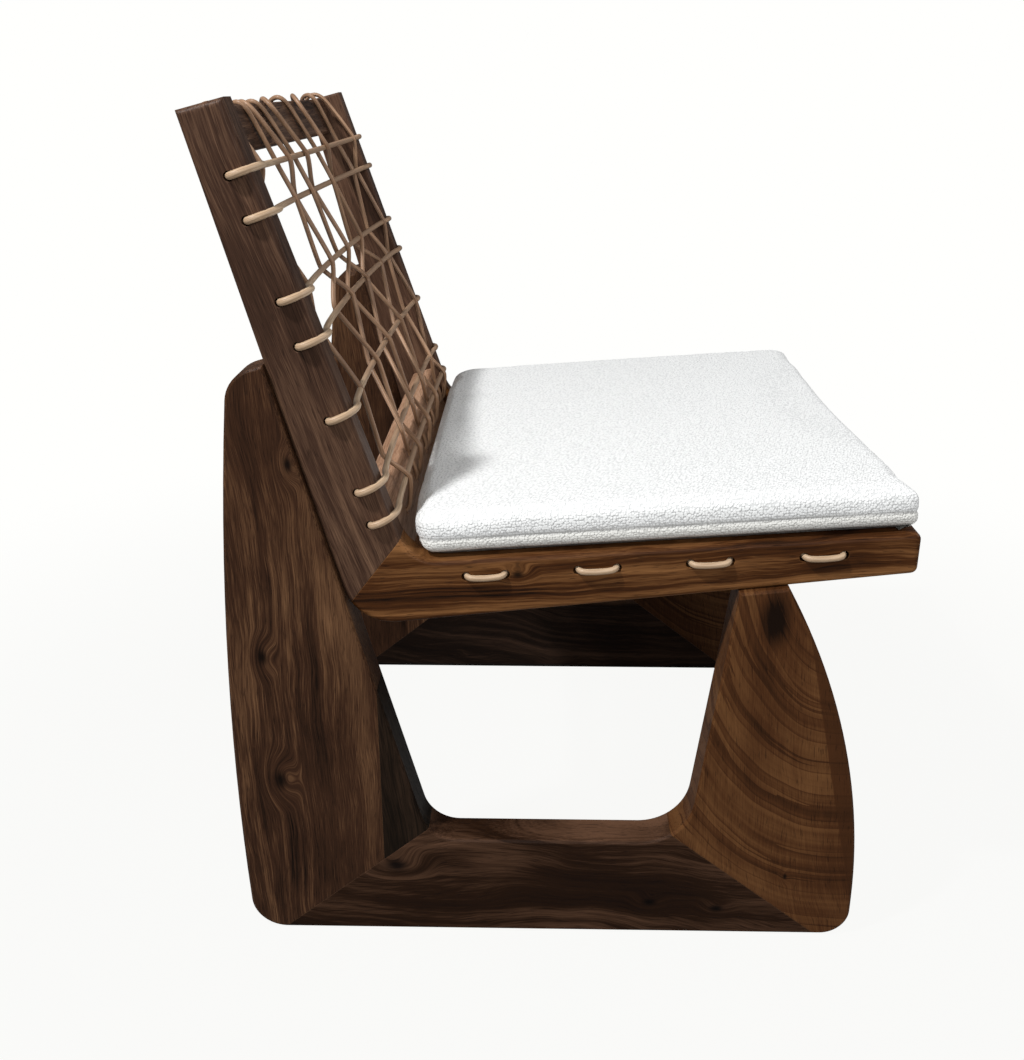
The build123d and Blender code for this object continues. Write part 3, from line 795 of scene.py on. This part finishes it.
# %% [markdown]
# ## Seat pad
# The pad is a boxed cushion: a top, a bottom and a band sewn round, filled with foam and fibre. The
# cover is first modelled slightly small and flat, then blown up by a cloth simulation, which draws
# the sides in between the corners and crowns the top. The seam and the sag of the front are worked
# in after that, because the simulation's mesh would lose them.

# %% Pad blank
pad_half_w = 275 * mm
pad_front = -423 * mm         # along the seat from its inner corner
pad_rear = -2 * mm
pad_thick = 34 * mm
pad_lift = 0.8 * mm           # off the rails
pad_long = pad_rear - pad_front
pad_rounding = {"rear": 17 * mm, "front": 5 * mm, "flat": 6 * mm}


def pad_blank(inset):
    """The cover before it is filled, lying flat, with rounded corners and eased edges."""
    bpy.ops.object.select_all(action="DESELECT")
    bpy.ops.mesh.primitive_cube_add(size=1, location=(0, 0, pad_thick / 2))
    blank = bpy.context.object
    blank.scale = (2 * (pad_half_w - inset), pad_long - 2 * inset, pad_thick)
    bpy.ops.object.transform_apply(location=True, scale=True)
    for kind, offset in pad_rounding.items():
        bpy.ops.object.mode_set(mode="EDIT")
        bpy.ops.mesh.select_mode(type="EDGE")
        bpy.ops.mesh.select_all(action="DESELECT")
        bpy.ops.object.mode_set(mode="OBJECT")
        for edge in blank.data.edges:
            one, two = (blank.data.vertices[v].co for v in edge.vertices)
            upright = abs(one.z - two.z) > 1 * mm
            end = "rear" if one.y > 0 else "front"
            edge.select = kind == (end if upright else "flat")
        bpy.ops.object.mode_set(mode="EDIT")
        bpy.ops.mesh.bevel(offset=offset, segments=4, affect="EDGES")
        bpy.ops.object.mode_set(mode="OBJECT")
    return blank


def remeshed(blank, voxel):
    """An even net of small faces over a blank."""
    remesh = blank.modifiers.new("net", "REMESH")
    remesh.mode = "VOXEL"
    remesh.voxel_size = voxel
    bpy.ops.object.modifier_apply(modifier="net")
    return blank


pad = remeshed(pad_blank(inset=1.5 * mm), voxel=4 * mm)
pad.name = "pad"
print("pad blank", len(pad.data.vertices), "points")

# %% [markdown]
# The filling is a pressure inside the cover, which acts for twenty frames. A cushion's sewn cover
# hardly stretches, so no point may end far from where it began, and less far sideways than upwards.
# The mesh is then made finer, so that the seam and the folds can be worked in.

# %% Fill the pad
filling_frames = 20
tiny = 1e-9                   # keeps a point that doesn't move from dividing by 0


def filled(cushion, pressure, cap, side_cap):
    """Blows the cushion up, keeping every point within cap of its start, and side_cap sideways."""
    start = np.array([v.co[:] for v in cushion.data.vertices])
    cloth = cushion.modifiers.new("filling", "CLOTH")
    cloth.settings.use_pressure = True
    cloth.settings.uniform_pressure_force = pressure
    cloth.settings.effector_weights.gravity = 0
    cloth.settings.quality = 4
    cloth.point_cache.frame_start = 1
    cloth.point_cache.frame_end = filling_frames
    for number in range(1, filling_frames + 1):
        bpy.context.scene.frame_set(number)
    shown = cushion.evaluated_get(bpy.context.evaluated_depsgraph_get())
    blown = np.array([v.co[:] for v in shown.data.vertices])
    move = blown - start
    far = np.linalg.norm(move, axis=1)
    sideways = np.linalg.norm(move[:, :2], axis=1)
    move[:, :2] *= np.minimum(1, side_cap / np.maximum(sideways, tiny))[:, None]
    share = np.minimum(1, cap / np.maximum(np.linalg.norm(move, axis=1), tiny))
    cushion.modifiers.remove(cloth)
    bpy.context.scene.frame_set(1)
    cushion.data.vertices.foreach_set("co", (start + move * share[:, None]).ravel())
    cushion.data.update()
    return far.max(), far.mean()


moved = filled(pad, pressure=4.0, cap=5 * mm, side_cap=2.5 * mm)
print("moved most and on average", short(moved))
bpy.context.view_layer.objects.active = pad
finer = pad.modifiers.new("finer", "SUBSURF")
finer.levels = finer.render_levels = 1
bpy.ops.object.modifier_apply(modifier="finer")
print("finer pad", len(pad.data.vertices), "points")

# %% [markdown]
# The pad rests flat on the rails, its front sags a little in the middle, and a seam runs round its
# band. Moving each point by a smooth function of its place does all three.

# %% Shape the pad
pressed_flat = 1.2 * mm       # what lies lower than this rests on the rails
heel_run = 26 * mm            # the round under the rear edge
heel_rise = 28 * mm
sag_from = 0.35               # share of the half length, from which the front sags
sag_middle = 0.1              # share of the half width, where it sags most
sag_wide = 0.55
front_sag = 4 * mm
front_belly = 3 * mm          # how far the sagging front bulges
corner_out = 4 * mm           # how far the right front corner reaches forward
corner_from = 190 * mm        # from the middle, where the rear begins to turn into its corners
corner_in = 6 * mm            # how far the rear corners lie forward of the rear's middle
fold_long = 30 * mm
fold_wide = 2.6 * mm
fold_slant = 0.3
rear_folds = ((150 * mm, 1.6 * mm), (20 * mm, 1.4 * mm), (-120 * mm, 1.0 * mm))
seam_up = 16.5 * mm
seam_wide = 1.6 * mm
seam_deep = 1.6 * mm
tuck_high = 5 * mm
tuck_deep = 8.5 * mm          # how far the band's foot is drawn in
band_from = 14 * mm           # inside the outline, where the seam's pull begins
band_full = 4 * mm            # and where it is whole


def slope_up(value, low, high):
    """0 up to low, 1 from high on, and straight between them."""
    return np.clip((value - low) / (high - low), 0, 1)


def bell(distance, width):
    """1 at no distance, and fading to 0 in about twice the width."""
    return np.exp(-(distance / width) ** 2)


def shape_pad(points):
    """Flat bottom, rounded heel, sagging front edge and a sunk seam, on the flat pad."""
    x, y, z = points.T            # views, so each step reads what the last one moved
    half_long = pad_long / 2
    reach = slope_up(y, half_long - heel_run, half_long)
    heel = heel_rise * (1 - np.sqrt(1 - reach ** 2))
    points[:, 2] = np.maximum(np.where(z < pressed_flat, 0, z), heel)

    front = slope_up(-y, half_long * sag_from, half_long) ** 2
    middle = bell(x / pad_half_w - sag_middle, sag_wide)
    high = np.clip(z / pad_thick, 0, 1)
    right = np.clip(-x / pad_half_w, 0, 1) ** 4
    points[:, 2] -= front_sag * front * middle * high
    points[:, 1] += (front_belly * middle * high - corner_out * right) * front
    beside = slope_up(np.abs(x), corner_from, pad_half_w) ** 2
    points[:, 1] -= corner_in * beside * np.clip(y / half_long, 0, 1) ** 4

    rear = slope_up(y, half_long - fold_long, half_long) * high
    for fold_x, deep in rear_folds:
        off_fold = x - fold_x - (y - half_long) * fold_slant
        points[:, 2] -= deep * rear * bell(off_fold, fold_wide)

    edge_in = np.maximum(np.abs(x) - pad_half_w, np.abs(y) - half_long)
    outer = slope_up(edge_in, -band_from, -band_full)
    sunk = (seam_deep * bell(z - seam_up, seam_wide) + tuck_deep * bell(z, tuck_high)) * outer
    by_side = np.abs(x) / pad_half_w > np.abs(y) / half_long
    from_side = np.where(by_side, np.sign(x), 0) * sunk
    from_end = np.where(by_side, 0, np.sign(y)) * sunk
    points[:, 0] -= from_side
    points[:, 1] -= from_end
    return points


flat = np.array([v.co[:] for v in pad.data.vertices])
flat[:, :2] *= np.array([pad_half_w, pad_long / 2]) / np.abs(flat[:, :2]).max(0)
flat = shape_pad(flat)
middle_back = (pad_rear + pad_front) / 2
placed = np.array([seat_point(x, middle_back + y, z + pad_lift) for x, y, z in flat])
pad.data.vertices.foreach_set("co", placed.ravel())
pad.data.update()
bpy.ops.object.shade_smooth()
print("pad", len(pad.data.polygons), "faces, from", short(placed.min(0)), "to", short(placed.max(0)))

# %% [markdown]
# The cover is an off-white cloth with a pebbled weave: small raised grains, a little longer across
# the seat, each catching the light. Cells of a Voronoi pattern give the grains, in the colour and
# in the bump, and a slow noise keeps the cloth from being even. The seam is darker and the band
# under it a little yellow. The foot of the band is painted dark, as painted shade where the cover
# tucks under the pad.

# %% Pad cloth
def pad_cloth():
    """Off-white pebbled cloth, which knows the pad's seam, and paints shade at its foot."""
    finish = Finish(bpy.data.materials.new("pad_cloth"))
    away = finish.shift(finish.places(), seat_corner)
    width = finish.dot(away, across)
    run = finish.dot(away, along_seat)
    up = finish.dot(away, out_of_seat)

    # As in the wood, these numbers count swells or cells in a metre.
    bend = finish.cloud(finish.vector(width * 22, run * 22, up * 22))
    grid = finish.vector(width * 330 + bend * 3, run * 460 + width * 140 + bend * 2, up * 440)
    cells = {"Vector": grid, "Scale": 1.0, "Randomness": 0.7}
    cell = finish.node("TexVoronoi", {"feature": "F1"}, cells, out="Distance")
    grain = 1 - finish.between(cell, 0.35, 0.85)
    fuzz = finish.cloud(finish.vector(width * 1900, run * 1900, up * 1900))
    slow = finish.cloud(finish.vector(width * 7, run * 7, up * 7), 3)

    from_seam = finish.maths("ABSOLUTE", up - (seam_up + pad_lift))
    seam = 1 - finish.between(from_seam, 0.3 * mm, 1.5 * mm)
    below = 1 - finish.between(up, seam_up - 1 * mm, seam_up + 1 * mm)
    # Painted shade: the band's foot is darkened where the cover tucks under the pad.
    painted_foot_shade = 1 - finish.between(up, 2.5 * mm, 6.5 * mm)
    white = finish.mix(grain, (0.66, 0.67, 0.67), (0.88, 0.89, 0.885))
    white = finish.mix(slow * 0.10, white, (0.74, 0.76, 0.77))
    white = finish.mix(below * 0.35, white, (0.60, 0.57, 0.48))
    white = finish.mix(seam * 0.55, white, (0.36, 0.35, 0.33))
    white = finish.mix(painted_foot_shade * 0.8, white, (0.16, 0.15, 0.13))
    return finish.surface(
        Base_Color=white,
        Roughness=0.92 - grain * 0.06,
        Specular_IOR_Level=0.25,
        Sheen_Weight=0.1,
        Normal=finish.bump(grain + fuzz * 0.12, distance=0.7 * mm, strength=0.8),
    )


pad.data.materials.clear()
pad.data.materials.append(pad_cloth())
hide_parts("seat_cushion")
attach(pad, "cushion")
print("pad cloth on", pad.name)
